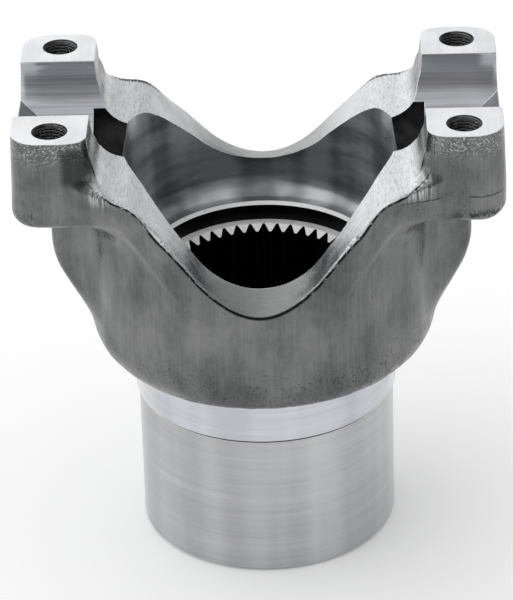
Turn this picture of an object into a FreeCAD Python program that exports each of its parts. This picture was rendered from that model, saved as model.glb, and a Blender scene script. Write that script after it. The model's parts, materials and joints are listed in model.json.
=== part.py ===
import FreeCAD, Part
import math
import os
import re

import Sketcher
from FreeCAD import Vector

# A splined end yoke for a half-round universal-joint bearing: one steel forging, machined.
# The origin is the centre of the hub's end face and +Z runs up the shaft axis to the four
# bolting pads.  The ears stand on the X axis and their bearing saddles are bored along X.
# All sizes are in millimetres and live in the spreadsheet "sizes".

NODE = "yoke"
TOLERANCE = 1e-3     # how near two places are when they count as one
THROUGH = "2 * ear_span"     # a cut of this length passes right through the yoke

# Driving dimensions.  Heights are measured from the hub's end face unless the note says
# otherwise.
DIMENSIONS = [
    ("pad_height", 142.7, "end face to the machined pads; the joint's cross axis is in this plane"),
    ("hub_radius", 38.1, "ground hub"),
    ("hub_length", 45.8, "end face to the polished seal shoulder"),
    ("hub_chamfer", 1.2, "outer chamfer of the end face"),
    ("seal_radius", 38.85, "polished seal shoulder under the bowl"),
    ("bowl_base", 59.2, "underside of the forged bowl"),
    ("bowl_radius", 50.8, "outside of the forged bowl"),
    ("bowl_corner", 12.0, "rounding between the underside and the side of the bowl"),
    ("neck_fillet", 2.0, "rounding between the seal shoulder and the underside"),
    ("cavity_radius", 40.0, "inside of the bowl"),
    ("floor_height", 86.5, "floor inside the bowl"),
    ("floor_fillet", 6.0, "rounding between the bowl's floor and its wall"),
    ("seat_radius", 33.1, "recess for the shaft nut and washer"),
    ("seat_depth", 5.9, "depth of the nut recess below the floor"),
    ("seat_chamfer", 1.0, "edge break of the nut recess"),
    ("spline_teeth", 46, "number of teeth"),
    ("spline_tip_radius", 28.58, "inside of the teeth"),
    ("spline_root_radius", 30.35, "bottom of the tooth spaces"),
    ("spline_tip_width", 0.75, "tooth width left at the tip"),
    ("spline_root_width", 0.65, "width of a tooth space at its bottom"),
    ("spline_length", 60.0, "splined length down from the nut seat"),
    ("spline_lead", 1.8, "lead-in chamfer of the spline at the nut seat"),
    ("pilot_radius", 30.6, "plain bore below the spline"),
    ("pilot_chamfer", 1.5, "lead-in of the plain bore at the end face"),
    ("throat_radius", 24.0, "round bottom of the U between the ears"),
    ("throat_depth", 44.7, "pads down to the bottom of the U"),
    ("flank_angle", 48.0, "slope of the sides of the U"),
    ("shelf_depth", 17.0, "pads down to the shelf between the U and an ear's bosses"),
    ("shoulder_radius", 10.0, "rounding where a side of the U turns into the shelf"),
    ("ear_gap", 93.6, "between the inner faces of the ears"),
    ("boss_corner", 9.0, "inner corners of the bosses, seen from above"),
    ("ear_span", 139.6, "over the outer faces of the ears"),
    ("ear_half_width", 35.5, "half of an ear's width, along Y"),
    ("ear_thickness", 28.0, "pads down to the underside of the bosses"),
    ("ear_corner", 8.0, "outer corners of an ear, seen from above"),
    ("ear_edge", 4.0, "rounding around the underside of the ears"),
    ("ear_bowl_blend", 15.0, "rounding between an ear's side and the bowl"),
    ("ear_sink", 0.4, "how far that rounding runs into the bowl"),
    ("arm_half_width", 13.0, "half of the width of the arm under an ear"),
    ("arm_reach", 61.0, "axis to the outer face of an arm"),
    ("arm_radius", 26.0, "curve that brings an arm back to the bowl"),
    ("arm_bend_depth", 43.5, "pads down to where that curve starts"),
    ("arm_corner", 4.0, "rounding of an arm's outer corners"),
    ("saddle_radius", 17.4625, "half-round seat for a 1.375 in bearing cap"),
    ("tang_span", 126.2, "between the tangs, over the bearing caps"),
    ("tang_height", 2.36, "height of a tang's inner edge above the saddle"),
    ("tang_slope", 34.0, "slope of a tang's top"),
    ("tang_width", 31.4, "length of a tang across its saddle, along Y"),
    ("bolt_span", 116.3, "strap bolts, spacing along X"),
    ("bolt_spread", 54.3, "strap bolts, spacing along Y"),
    ("bolt_bore", 8.5, "tapping size of the 3/8-24 strap bolts"),
    ("bolt_mouth", 10.2, "countersunk mouth of a bolt hole"),
    ("bolt_mouth_angle", 90, "whole angle of that countersink, in degrees"),
    ("relief_radius", 12.0, "groove that clears the cross between the bosses"),
    ("relief_span", 96.4, "over the ends of that groove, a little way under the saddles"),
    ("relief_depth", 23.5, "pads down to the bottom of that groove"),
]

DOC = FreeCAD.newDocument("end_yoke")


def fill_sheet():
    """Write every driving dimension as a plain number with an alias and a note."""
    sheet = DOC.addObject("Spreadsheet::Sheet", "sizes")
    for row, (alias, value, note) in enumerate(DIMENSIONS, start=1):
        sheet.set(f"A{row}", alias)
        sheet.set(f"B{row}", str(value))
        sheet.set(f"C{row}", note)
        sheet.setAlias(f"B{row}", alias)
    DOC.recompute()
    return sheet


SHEET = fill_sheet()
ALIASES = {alias for alias, _, _ in DIMENSIONS}


def bound(formula):
    """Turn a formula in plain aliases into one that reads the sheet's cells."""
    return re.sub(r"[a-z_]+", lambda word: ("sizes." if word[0] in ALIASES else "") + word[0], formula)


def number(formula):
    """Return the present value of a formula in the sheet's aliases."""
    return float(SHEET.evalExpression(bound(formula)))


def origin_plane(body, role):
    """Find one of the body's own origin planes by its role."""
    return next(item for item in body.Origin.OriginFeatures if item.Role == role)


def new_sketch(body, name, role):
    """Make an empty sketch on one of the body's origin planes."""
    sketch = body.newObject("Sketcher::SketchObject", name)
    sketch.AttachmentSupport = [(origin_plane(body, role), "")]
    sketch.MapMode = "FlatFace"
    return sketch


def bind(sketch, constraint, formula):
    """Add a dimension to a sketch and tie it to the sheet; return its index."""
    index = sketch.addConstraint(constraint)
    sketch.setExpression(f"Constraints[{index}]", bound(formula))
    return index


def arc_between(start, end, radius, turn):
    """Return the short arc from start to end; turn is +1 for anticlockwise, -1 for clockwise."""
    chord = end - start
    middle = (start + end) * 0.5
    rise = math.sqrt(max(radius ** 2 - (chord.Length / 2) ** 2, 0.0))
    side = Vector(-chord.y, chord.x, 0).normalize() * turn
    centre = middle + side * rise
    first, last = (start, end) if turn > 0 else (end, start)
    angles = [math.atan2(point.y - centre.y, point.x - centre.x) for point in (first, last)]
    if angles[1] < angles[0]:
        angles[1] += 2 * math.pi
    circle = Part.Circle(centre, Vector(0, 0, 1), radius)
    return Part.ArcOfCircle(circle, angles[0], angles[1])


def draw_outline(sketch, corners):
    """Draw a closed outline whose corners and radii are formulas in the sheet's aliases.

    Each corner is (x, y) for a straight run to the next corner, or (x, y, radius, turn) for
    an arc to it.
    """
    places = [Vector(number(corner[0]), number(corner[1]), 0) for corner in corners]
    ends = []
    for place, following, corner in zip(places, places[1:] + places[:1], corners):
        if len(corner) == 2:
            edge = sketch.addGeometry(Part.LineSegment(place, following), False)
            ends.append((edge, 1, 2))
        else:
            edge = sketch.addGeometry(arc_between(place, following, number(corner[2]), corner[3]), False)
            ends.append((edge, 1, 2) if corner[3] > 0 else (edge, 2, 1))
    for (before, _, last), (edge, first, _) in zip(ends[-1:] + ends[:-1], ends):
        sketch.addConstraint(Sketcher.Constraint("Coincident", before, last, edge, first))
    for (edge, first, _), place, corner in zip(ends, places, corners):
        bind(sketch, Sketcher.Constraint("DistanceX", edge, first, place.x), corner[0])
        bind(sketch, Sketcher.Constraint("DistanceY", edge, first, place.y), corner[1])
        if len(corner) == 4:
            bind(sketch, Sketcher.Constraint("Radius", edge, number(corner[2])), corner[2])


def mirrored(corners):
    """Mirror an outline's formulas across the sketch's vertical axis."""
    return [(f"-({corner[0]})", corner[1]) + tuple(corner[2:3]) + tuple(-turn for turn in corner[3:])
            for corner in corners]


def draw_circle(sketch, centre, radius):
    """Draw a circle whose centre and radius are formulas in the sheet's aliases."""
    place = Vector(number(centre[0]), number(centre[1]), 0)
    edge = sketch.addGeometry(Part.Circle(place, Vector(0, 0, 1), number(radius)), False)
    bind(sketch, Sketcher.Constraint("DistanceX", edge, 3, place.x), centre[0])
    bind(sketch, Sketcher.Constraint("DistanceY", edge, 3, place.y), centre[1])
    bind(sketch, Sketcher.Constraint("Radius", edge, number(radius)), radius)


def pad(body, sketch, length, symmetric=False, reverse=False):
    """Pad a sketch by a length formula and return the feature."""
    feature = body.newObject("PartDesign::Pad", f"{sketch.Name}_pad")
    feature.Profile = sketch
    feature.SideType = "Symmetric" if symmetric else "One side"
    feature.Reversed = reverse
    feature.setExpression("Length", bound(length))
    return settle(body, feature)


def pocket(body, sketch, length):
    """Cut a sketch symmetrically by a length formula and return the feature."""
    feature = body.newObject("PartDesign::Pocket", f"{sketch.Name}_pocket")
    feature.Profile = sketch
    feature.SideType = "Symmetric"
    feature.setExpression("Length", bound(length))
    return settle(body, feature)


def settle(body, feature):
    """Recompute and make sure that the feature worked and that a cut removed something."""
    before = feature.BaseFeature.Shape.Volume if feature.BaseFeature else 0.0
    DOC.recompute()
    if "Invalid" in feature.State or "Error" in feature.State or not feature.Shape.isValid():
        raise RuntimeError(f"{feature.Name} failed: {feature.State}")
    if abs(feature.Shape.Volume - before) < TOLERANCE:
        raise RuntimeError(f"{feature.Name} changed nothing")
    return feature


def fillet(body, name, edges, radius):
    """Round the named edges of the body's last feature with a radius formula."""
    base = body.Tip
    feature = body.newObject("PartDesign::Fillet", name)
    feature.Base = (base, edges)
    feature.setExpression("Radius", bound(radius))
    return settle(body, feature)


def revolve(body, sketch, kind, angle=360, reverse=False):
    """Turn a sketch about its vertical axis, as a Revolution that adds or a Groove that cuts."""
    feature = body.newObject(f"PartDesign::{kind}", f"{sketch.Name}_turn")
    feature.Profile = sketch
    feature.ReferenceAxis = (sketch, ["V_Axis"])
    feature.Angle = angle
    feature.Reversed = reverse
    return settle(body, feature)


def edge_names(body, wanted):
    """Name the edges of the body's last feature that a test picks."""
    edges = enumerate(body.Tip.Shape.Edges, start=1)
    return [f"Edge{index}" for index, edge in edges if wanted(edge)]


def middle(edge):
    """Return the point and the direction halfway along an edge."""
    halfway = (edge.FirstParameter + edge.LastParameter) / 2
    return edge.valueAt(halfway), edge.tangentAt(halfway)


def fillet_each_side(body, name, wanted, radius):
    """Round the picked edges of the right ear, then those of the left ear."""
    for side, word in ((1, "right"), (-1, "left")):
        edges = edge_names(body, lambda edge: wanted(edge) and side * middle(edge)[0].x > 0)
        fillet(body, f"{name}_{word}", edges, radius)


def add_turned_forging(body):
    """Revolve the solid hub, seal shoulder and bowl."""
    sketch = new_sketch(body, "forging", "XZ_Plane")
    draw_outline(sketch, [
        ("0", "0"),
        ("hub_radius - hub_chamfer", "0"),
        ("hub_radius", "hub_chamfer"),
        ("hub_radius", "hub_length"),
        ("seal_radius", "hub_length"),
        ("seal_radius", "bowl_base - neck_fillet", "neck_fillet", -1),
        ("seal_radius + neck_fillet", "bowl_base"),
        ("bowl_radius - bowl_corner", "bowl_base", "bowl_corner", 1),
        ("bowl_radius", "bowl_base + bowl_corner"),
        ("bowl_radius", "pad_height"),
        ("0", "pad_height"),
    ])
    revolve(body, sketch, "Revolution")


def add_ears(body):
    """Pad both ears down from the pads, in plan a bar whose sides sweep into the bowl."""
    sunk = "(bowl_radius - ear_sink)"
    side = "(ear_half_width + ear_bowl_blend)"
    sweep_start = f"sqrt(({sunk} + ear_bowl_blend)^2 - {side}^2)"
    share = f"{sunk} / ({sunk} + ear_bowl_blend)"
    sweep_end_x = f"{sweep_start} * {share}"
    sweep_end_y = f"{side} * {share}"
    root = "bowl_radius / 2"
    ear = [
        (root, f"-({root})"),
        (sweep_end_x, f"-({sweep_end_y})", "ear_bowl_blend", -1),
        (sweep_start, "-ear_half_width"),
        ("ear_span / 2 - ear_corner", "-ear_half_width", "ear_corner", 1),
        ("ear_span / 2", "ear_corner - ear_half_width"),
        ("ear_span / 2", "ear_half_width - ear_corner", "ear_corner", 1),
        ("ear_span / 2 - ear_corner", "ear_half_width"),
        (sweep_start, "ear_half_width", "ear_bowl_blend", -1),
        (sweep_end_x, sweep_end_y),
        (root, root),
    ]
    sketch = new_sketch(body, "ears", "XY_Plane")
    sketch.setExpression("AttachmentOffset.Base.z", bound("pad_height"))
    draw_outline(sketch, ear)
    draw_outline(sketch, mirrored(ear))
    pad(body, sketch, "ear_thickness", reverse=True)

    underside = number("pad_height - ear_thickness")
    bowl = number("bowl_radius")

    def outer_bottom_edge(edge):
        """Pick the bottom edges of an ear that stand clear of the bowl."""
        point = middle(edge)[0]
        return edge.BoundBox.ZLength < TOLERANCE and abs(point.z - underside) < TOLERANCE \
            and math.hypot(point.x, point.y) > bowl + TOLERANCE

    fillet_each_side(body, "ear_underside", outer_bottom_edge, "ear_edge")


def add_arms(body):
    """Add the narrow arms that carry the ears; below, each one bends back into the bowl."""
    sketch = new_sketch(body, "arm", "XY_Plane")
    sketch.setExpression("AttachmentOffset.Base.x", bound("arm_reach - arm_radius"))
    sketch.setExpression("AttachmentOffset.Base.z", bound("pad_height - arm_bend_depth"))
    draw_outline(sketch, [
        ("0", "-arm_half_width"),
        ("arm_radius - arm_corner", "-arm_half_width", "arm_corner", 1),
        ("arm_radius", "arm_corner - arm_half_width"),
        ("arm_radius", "arm_half_width - arm_corner", "arm_corner", 1),
        ("arm_radius - arm_corner", "arm_half_width"),
        ("0", "arm_half_width"),
    ])
    upright = pad(body, sketch, "arm_bend_depth - ear_thickness / 2")
    bend = revolve(body, sketch, "Revolution", 90, False)
    both = body.newObject("PartDesign::Mirrored", "arms")
    both.Originals = [upright, bend]
    both.MirrorPlane = (origin_plane(body, "YZ_Plane"), [""])
    body.Tip = both
    settle(body, both)


def cut_throat(body):
    """Cut the U right through along Y, and the room between the bosses down to its shelves."""
    arc_x = "throat_radius * sin(flank_angle)"
    arc_z = "pad_height - throat_depth + throat_radius * (1 - cos(flank_angle))"
    shelf_z = "(pad_height - shelf_depth)"
    turn_x = f"({arc_x} + ({shelf_z} - ({arc_z})) / tan(flank_angle))"
    turn = "shoulder_radius * tan(flank_angle / 2)"
    turn_start_x = f"{turn_x} - {turn} * cos(flank_angle)"
    turn_start_z = f"{shelf_z} - {turn} * sin(flank_angle)"
    above = "pad_height + throat_depth"
    right = [
        (arc_x, arc_z),
        (turn_start_x, turn_start_z, "shoulder_radius", -1),
        (f"{turn_x} + {turn}", shelf_z),
        (f"{turn_x} + {turn}", above),
    ]
    left = [
        (f"-({turn_x} + {turn})", above),
        (f"-({turn_x} + {turn})", shelf_z, "shoulder_radius", -1),
        (f"-({turn_start_x})", turn_start_z),
        (f"-({arc_x})", arc_z, "throat_radius", 1),
    ]
    sketch = new_sketch(body, "throat", "XZ_Plane")
    draw_outline(sketch, right + left)
    pocket(body, sketch, THROUGH)

    corner_x = "ear_gap / 2 + boss_corner"
    corner_y = "ear_half_width - boss_corner"
    clear_y = "bowl_radius + ear_bowl_blend"
    room = [
        (corner_x, f"-({clear_y})"),
        (corner_x, "-ear_half_width", "boss_corner", -1),
        ("ear_gap / 2", f"-({corner_y})"),
        ("ear_gap / 2", corner_y, "boss_corner", -1),
        (corner_x, "ear_half_width"),
        (corner_x, clear_y),
        (f"-({corner_x})", clear_y),
        (f"-({corner_x})", "ear_half_width", "boss_corner", -1),
        ("-ear_gap / 2", corner_y),
        ("-ear_gap / 2", f"-({corner_y})", "boss_corner", -1),
        (f"-({corner_x})", "-ear_half_width"),
        (f"-({corner_x})", f"-({clear_y})"),
    ]
    between = new_sketch(body, "room_between_bosses", "XY_Plane")
    between.setExpression("AttachmentOffset.Base.z", bound("pad_height"))
    draw_outline(between, room)
    pocket(body, between, "2 * shelf_depth")


def cut_relief(body):
    """Groove each ear's shelf, in line with its saddle, where the cross swings."""
    sketch = new_sketch(body, "cross_relief", "YZ_Plane")
    draw_circle(sketch, ("0", "pad_height - relief_depth + relief_radius"), "relief_radius")
    pocket(body, sketch, "relief_span")


def cut_cavity(body):
    """Turn out the bowl, the nut recess, the spline bore and the pilot below it."""
    seat = "floor_height - seat_depth"
    spline_end = f"{seat} - spline_length"
    sketch = new_sketch(body, "cavity", "XZ_Plane")
    draw_outline(sketch, [
        ("0", "0"),
        ("pilot_radius + pilot_chamfer", "0"),
        ("pilot_radius", "pilot_chamfer"),
        ("pilot_radius", spline_end),
        ("spline_tip_radius", f"{spline_end} + pilot_radius - spline_tip_radius"),
        ("spline_tip_radius", f"{seat} - spline_lead"),
        ("spline_tip_radius + spline_lead", seat),
        ("seat_radius", seat),
        ("seat_radius", "floor_height - seat_chamfer"),
        ("seat_radius + seat_chamfer", "floor_height"),
        ("cavity_radius - floor_fillet", "floor_height", "floor_fillet", 1),
        ("cavity_radius", "floor_height + floor_fillet"),
        ("cavity_radius", "pad_height + cavity_radius"),
        ("0", "pad_height + cavity_radius"),
    ])
    revolve(body, sketch, "Groove")


def cut_spline(body):
    """Cut one tooth space along the bore and repeat it around the axis."""
    tip_space = "(2 * pi * spline_tip_radius / spline_teeth - spline_tip_width)"
    sketch = new_sketch(body, "tooth_space", "XY_Plane")
    draw_outline(sketch, [
        (f"{tip_space} / 2", "spline_tip_radius - spline_lead"),
        (f"{tip_space} / 2", "spline_tip_radius"),
        ("spline_root_width / 2", "spline_root_radius"),
        ("-spline_root_width / 2", "spline_root_radius"),
        (f"-{tip_space} / 2", "spline_tip_radius"),
        (f"-{tip_space} / 2", "spline_tip_radius - spline_lead"),
    ])
    space = body.newObject("PartDesign::Pocket", "tooth_space_pocket")
    space.Profile = sketch
    space.Reversed = True
    space.setExpression("Length", bound("floor_height - seat_depth"))
    settle(body, space)
    ring = body.newObject("PartDesign::PolarPattern", "spline")
    ring.Originals = [space]
    ring.Axis = (sketch, ["N_Axis"])
    ring.Angle = 360
    ring.setExpression("Occurrences", bound("spline_teeth"))
    body.Tip = ring
    settle(body, ring)


def cut_saddles(body):
    """Bore both saddles in line along X and leave the tangs that locate the caps."""
    sketch = new_sketch(body, "saddles", "YZ_Plane")
    draw_circle(sketch, ("0", "pad_height"), "saddle_radius")
    pocket(body, sketch, THROUGH)
    foot = "pad_height - saddle_radius"
    inner = "tang_span / 2"
    outer = "ear_span / 2"
    tang = [
        (inner, f"{foot} - tang_height"),
        (outer, f"{foot} - tang_height"),
        (outer, f"{foot} + tang_height + ({outer} - {inner}) * tan(tang_slope)"),
        (inner, f"{foot} + tang_height"),
    ]
    tangs = new_sketch(body, "tangs", "XZ_Plane")
    draw_outline(tangs, tang)
    draw_outline(tangs, mirrored(tang))
    pad(body, tangs, "tang_width", symmetric=True)


def drill_bolt_holes(body):
    """Drill and countersink the four strap-bolt holes down through the bosses."""
    sketch = new_sketch(body, "bolt_holes", "XY_Plane")
    sketch.setExpression("AttachmentOffset.Base.z", bound("pad_height"))
    for side in ("", "-"):
        for end in ("", "-"):
            draw_circle(sketch, (f"{side}bolt_span / 2", f"{end}bolt_spread / 2"), "bolt_bore / 2")
    DOC.recompute()
    holes = body.newObject("PartDesign::Hole", "strap_bolt_holes")
    holes.Profile = sketch
    holes.DepthType = "Dimension"
    holes.HoleCutType = "Countersink"
    holes.HoleCutCustomValues = True
    holes.setExpression("HoleCutCountersinkAngle", bound("bolt_mouth_angle"))
    holes.setExpression("Diameter", bound("bolt_bore"))
    holes.setExpression("HoleCutDiameter", bound("bolt_mouth"))
    holes.setExpression("Depth", bound("ear_thickness + bolt_bore"))
    settle(body, holes)


def build_yoke():
    """Build the yoke's body in the order of its manufacture: forge, then machine."""
    body = DOC.addObject("PartDesign::Body", NODE)
    body.Label = NODE
    DOC.recompute()
    add_turned_forging(body)
    add_ears(body)
    add_arms(body)
    cut_throat(body)
    cut_relief(body)
    cut_cavity(body)
    cut_saddles(body)
    drill_bolt_holes(body)
    cut_spline(body)
    body.Placement = FreeCAD.Placement()
    DOC.recompute()
    return body


def check_document():
    """Stop if any object of the document failed to compute."""
    failed = [item.Name for item in DOC.Objects if {"Invalid", "Error"} & set(item.State)]
    if failed:
        raise RuntimeError(f"failed objects: {failed}")


def write_step(body):
    """Write a sound single solid to the parts folder."""
    shape = body.Shape
    if shape.isNull() or not shape.isValid() or len(shape.Solids) != 1:
        raise RuntimeError(f"{body.Label} is not one sound solid")
    os.makedirs("parts", exist_ok=True)
    shape.exportStep(f"parts/{body.Label}.step")
    box = shape.optimalBoundingBox(False)
    print(f"{body.Label}: {shape.Volume / 1000:.1f} cm3, "
          f"{box.XLength:.1f} x {box.YLength:.1f} x {box.ZLength:.1f} mm, {len(shape.Faces)} faces")


yoke = build_yoke()
check_document()
write_step(yoke)
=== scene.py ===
import json
import logging
import math
from collections.abc import Callable
from dataclasses import dataclass
from enum import Enum

import bmesh
import bpy
import numpy as np
from mathutils import Matrix, Vector

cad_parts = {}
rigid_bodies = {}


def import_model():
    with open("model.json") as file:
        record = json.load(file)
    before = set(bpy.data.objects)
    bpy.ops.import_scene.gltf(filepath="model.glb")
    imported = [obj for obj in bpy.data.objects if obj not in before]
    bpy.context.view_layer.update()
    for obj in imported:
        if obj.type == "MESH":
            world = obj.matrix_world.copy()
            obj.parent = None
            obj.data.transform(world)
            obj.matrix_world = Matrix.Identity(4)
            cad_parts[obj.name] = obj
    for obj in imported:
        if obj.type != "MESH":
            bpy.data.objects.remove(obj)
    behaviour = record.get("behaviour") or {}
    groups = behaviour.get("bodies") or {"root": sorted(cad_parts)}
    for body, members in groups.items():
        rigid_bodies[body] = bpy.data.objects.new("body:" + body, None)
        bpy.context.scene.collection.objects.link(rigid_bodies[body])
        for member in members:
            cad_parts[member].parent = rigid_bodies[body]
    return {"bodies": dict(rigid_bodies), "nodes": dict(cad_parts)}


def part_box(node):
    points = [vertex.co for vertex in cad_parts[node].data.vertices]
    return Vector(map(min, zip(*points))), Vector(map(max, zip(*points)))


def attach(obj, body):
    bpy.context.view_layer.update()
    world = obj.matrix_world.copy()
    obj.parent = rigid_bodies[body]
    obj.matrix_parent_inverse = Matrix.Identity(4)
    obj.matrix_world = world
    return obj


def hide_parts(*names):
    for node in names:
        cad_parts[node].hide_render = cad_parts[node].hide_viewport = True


# A splined steel end yoke.  The forged skin is a field of distances that is meshed and then
# machined with exact cuts, in the order of the real work: forge, grind, turn, bore, tap.
# The classes keep their sizes in millimetres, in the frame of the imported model.

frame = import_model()

MM = 0.001
NODE = "yoke"
BODY = "root"
RING = 192                      # points around a turned surface
HASH_AXES = (73856093, 19349663, 83492791)      # odd factors that scramble a cell's place
HASH_SEED = 7919
HASH_FACTORS = (1103515245, 1274126177)
HASH_STEP = 12345
HASH_TOP = 0x7FFFFFFF
BEVEL_SAMPLES = 6
# the rounded edges found with these cosines get a painted highlight
EDGE_TURN = (0.99, 0.90)        # cosines from a flat face's shading to a rounded edge's
PURE_WHITE = (1.0, 1.0, 1.0, 1.0)

Colour = tuple[float, float, float]
Span = tuple[float, float]
Window = tuple[float, float, float]
Distance = Callable[[np.ndarray], np.ndarray]
Socket = bpy.types.NodeSocket

log = logging.getLogger(NODE)


class Region(Enum):
    """The differently finished surfaces of the yoke, in the order of its material slots."""

    FORGED = 0
    PAD = 1
    SADDLE = 2
    THREAD = 3
    CAVITY = 4
    RECESS = 5
    CHAMFER = 6
    SPLINE = 7
    HUB = 8
    SEAL = 9
    RELIEF = 10


# ---------------------------------------------------------------------------- fields


def fuse(first: np.ndarray, second: np.ndarray, radius: float) -> np.ndarray:
    """Join two fields of distances with a fillet.

    Args:
        first: distances to one shape, negative inside it.
        second: distances to the other shape.
        radius: the fillet's radius; a number, or one for each distance.

    Returns:
        The distances to the joined shape.
    """
    spare_first = np.maximum(radius - first, 0.0)
    spare_second = np.maximum(radius - second, 0.0)
    return np.maximum(radius, np.minimum(first, second)) - np.hypot(spare_first, spare_second)


def common(first: np.ndarray, second: np.ndarray, radius: float) -> np.ndarray:
    """Keep what two fields share and round the edge where they meet; see fuse."""
    return -fuse(-first, -second, radius)


def ease(value: np.ndarray, start: float, end: float) -> np.ndarray:
    """Rise smoothly from 0 at start to 1 at end; start may be the larger one."""
    share = np.clip((value - start) / (end - start), 0.0, 1.0)
    return share * share * (3.0 - 2.0 * share)


def waviness(points: np.ndarray, size: float, seed: int) -> np.ndarray:
    """Return smooth random values from -1 to 1 that vary over a distance.

    Args:
        points: places, in an array whose last axis is x, y, z.
        size: the distance over which the values vary.
        seed: a whole number that picks the pattern.

    Returns:
        One value for each place.
    """
    scaled = points / size
    cell = np.floor(scaled).astype(np.int64)
    share = scaled - cell
    share = share * share * (3.0 - 2.0 * share)
    total = np.zeros(points.shape[:-1])
    for corner in np.ndindex(2, 2, 2):
        index = cell + corner
        along_x, along_y, along_z = (index[..., axis] * HASH_AXES[axis] for axis in range(3))
        key = along_x ^ along_y ^ along_z ^ (seed * HASH_SEED)
        key = (key * HASH_FACTORS[0] + HASH_STEP) & HASH_TOP
        key = ((key ^ (key >> 13)) * HASH_FACTORS[1]) & HASH_TOP
        weight = np.prod(np.where(corner, share, 1.0 - share), axis=-1)
        total += weight * (key / (HASH_TOP // 2) - 1.0)
    return total


# ---------------------------------------------------------------------------- meshes


def mesh_object(name: str, points: np.ndarray, faces: list | np.ndarray) -> bpy.types.Object:
    """Link a new mesh object built from points in millimetres.

    Args:
        name: the object's name.
        points: the corners, in millimetres.
        faces: the faces, as rows of corner numbers.

    Returns:
        The new object.
    """
    mesh = bpy.data.meshes.new(name)
    rows = faces.tolist() if isinstance(faces, np.ndarray) else faces
    mesh.from_pydata((np.asarray(points) * MM).tolist(), [], rows)
    mesh.update()
    made = bpy.data.objects.new(name, mesh)
    bpy.context.scene.collection.objects.link(made)
    return made


def turned(name: str, profile: list[tuple[float, float]], ring: int = RING) -> bpy.types.Object:
    """Turn a profile that starts and ends on the Z axis into a closed solid.

    Args:
        name: the object's name.
        profile: (radius, height) corners from one end of the axis to the other, upwards.
        ring: the number of points around the axis.

    Returns:
        The new object.
    """
    angles = np.arange(ring) * 2.0 * math.pi / ring
    inner = profile[1:-1]
    rows = [[(radius * math.cos(a), radius * math.sin(a), height) for a in angles]
            for radius, height in inner]
    points = [corner for row in rows for corner in row]
    bottom, top = len(points), len(points) + 1
    points += [(0.0, 0.0, profile[0][1]), (0.0, 0.0, profile[-1][1])]
    faces = []
    for index in range(ring):
        following = (index + 1) % ring
        faces.append((following, index, bottom))
        last = (len(inner) - 1) * ring
        faces.append((last + index, last + following, top))
        for row in range(len(inner) - 1):
            low, high = row * ring, (row + 1) * ring
            faces.append((low + index, low + following, high + following, high + index))
    return mesh_object(name, np.array(points), faces)


def arc(centre: tuple[float, float], radius: float, start: float, end: float,
        steps: int = 8) -> list[tuple[float, float]]:
    """Return points along an arc of a profile, both ends included, for angles in degrees."""
    angles = np.radians(np.linspace(start, end, steps + 1))
    return [(centre[0] + radius * math.cos(a), centre[1] + radius * math.sin(a)) for a in angles]


def prism(name: str, outline: np.ndarray, low: float, high: float) -> bpy.types.Object:
    """Stand a closed outline up from one height to another.

    Args:
        name: the object's name.
        outline: (x, y) corners, anticlockwise.
        low: the height of the lower end.
        high: the height of the upper end.

    Returns:
        The new object.
    """
    count = len(outline)
    points = np.concatenate([np.column_stack([outline, np.full(count, z)]) for z in (low, high)])
    sides = [(i, (i + 1) % count, count + (i + 1) % count, count + i) for i in range(count)]
    caps = [tuple(range(count))[::-1], tuple(range(count, 2 * count))]
    return mesh_object(name, points, sides + caps)


def lay_along_x(tool: bpy.types.Object, height: float) -> None:
    """Turn a tool that stands on Z so that it lies along X.

    Args:
        tool: the tool.
        height: the height at which it lies, in millimetres.
    """
    swing = Matrix.Rotation(math.radians(90.0), 4, "Y")
    tool.data.transform(Matrix.Translation((0.0, 0.0, height * MM)) @ swing)
    tool.data.update()


def machine(work: bpy.types.Object, tool: bpy.types.Object, operation: str = "DIFFERENCE") -> None:
    """Cut a tool from the work, or fuse it on, and throw the tool away.

    Args:
        work: the object that is machined.
        tool: a closed object that takes the tool's place.
        operation: DIFFERENCE, UNION or INTERSECT.
    """
    modifier = work.modifiers.new(operation.lower(), "BOOLEAN")
    modifier.operation = operation
    modifier.solver = "MANIFOLD"
    modifier.object = tool
    bpy.context.view_layer.update()
    cut = bpy.data.meshes.new_from_object(work.evaluated_get(bpy.context.evaluated_depsgraph_get()))
    if not cut.polygons:
        raise RuntimeError(f"{tool.name} left nothing of the work")
    log.info("%s with %s: %d faces", operation.lower(), tool.name, len(cut.polygons))
    work.modifiers.clear()
    old, work.data = work.data, cut
    bpy.data.meshes.remove(old)
    shape = tool.data
    bpy.data.objects.remove(tool)
    bpy.data.meshes.remove(shape)


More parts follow.
